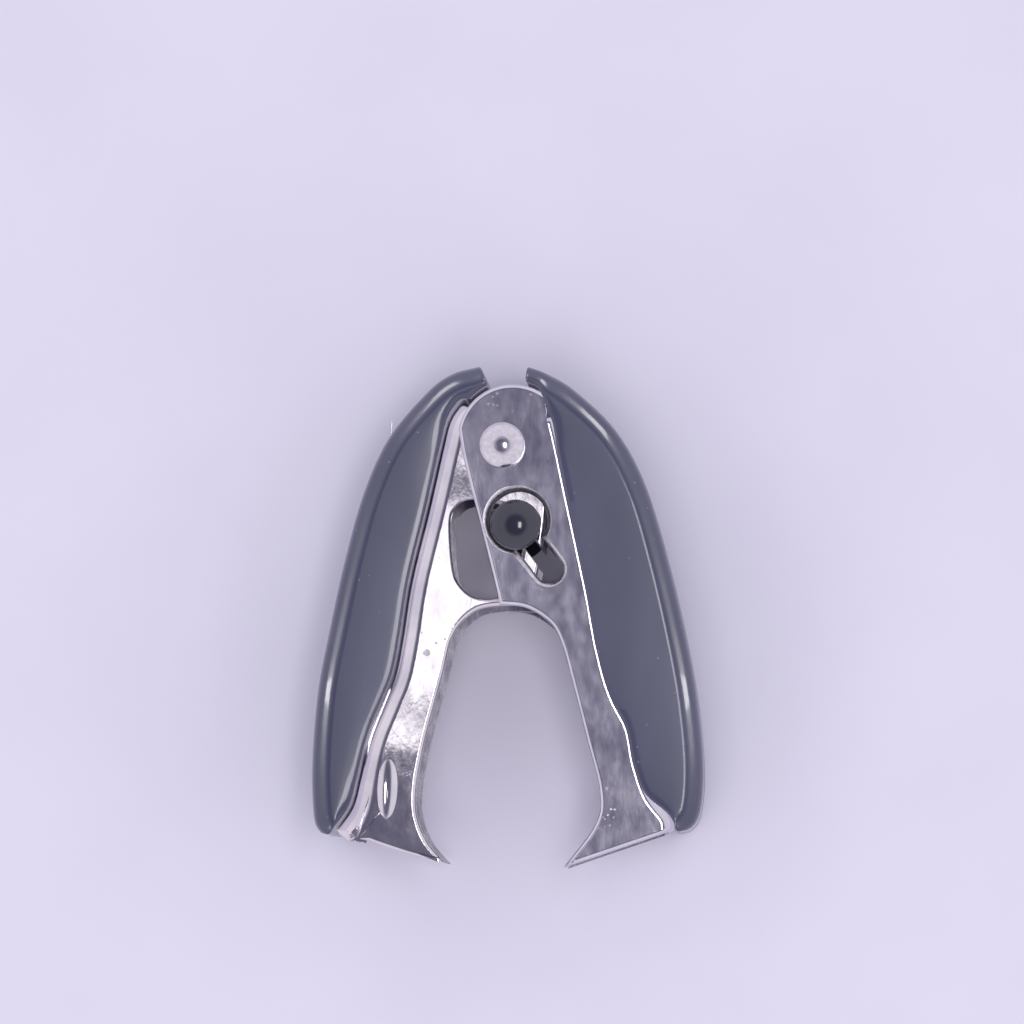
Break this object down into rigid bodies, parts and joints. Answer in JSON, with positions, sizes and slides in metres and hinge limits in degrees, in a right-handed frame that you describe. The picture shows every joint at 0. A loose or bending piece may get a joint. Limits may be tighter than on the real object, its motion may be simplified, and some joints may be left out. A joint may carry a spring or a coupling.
{
  "type": "staple remover",
  "caption": "Claw-type staple remover: two nested stamped jaws on one rivet, sprung open, with hand grips and a sliding lock.",
  "frame": {"origin": "on the floor, under the middle of the remover as it lies on its grips' flat sides with the jaws open", "axes": "+Y from the claws to the rivet, +X to the outer jaw's grip, +Z along the rivet's axis, up"},
  "size_m": [0.0434, 0.0558, 0.02],
  "materials": {
    "jaw_steel": "bright nickel plate",
    "rivet_steel": "bright plated dome",
    "wire_steel": "drawn wire",
    "grip_plastic": "polished black",
    "button_plastic": "polished black"
  },
  "bodies": {
    "outer_half": {"outer_jaw": "jaw_steel", "right_grip": "grip_plastic", "pivot_rivet": "rivet_steel", "pivot_sleeve": "wire_steel", "torsion_spring": "wire_steel"},
    "inner_half": {"inner_jaw": "jaw_steel", "left_grip": "grip_plastic"},
    "lock": {"lock_pin": "wire_steel", "lock_button_front": "button_plastic", "lock_button_rear": "button_plastic"}
  },
  "joints": [
    {"name": "jaw_pivot", "type": "hinge", "parent": "outer_half", "child": "inner_half", "pos_m": [-0.0006, 0.01905, 0.01], "axis": [0, 0, 1], "range_deg": [0, 18.5], "stiffness_Nm_per_rad": 0.2, "springref_deg": -51.57, "deforming": ["torsion_spring"]},
    {"name": "lock_slide", "type": "slide", "parent": "outer_half", "child": "lock", "axis": [0.6032, -0.7976, 0], "range_m": [0, 0.0061]}
  ]
}
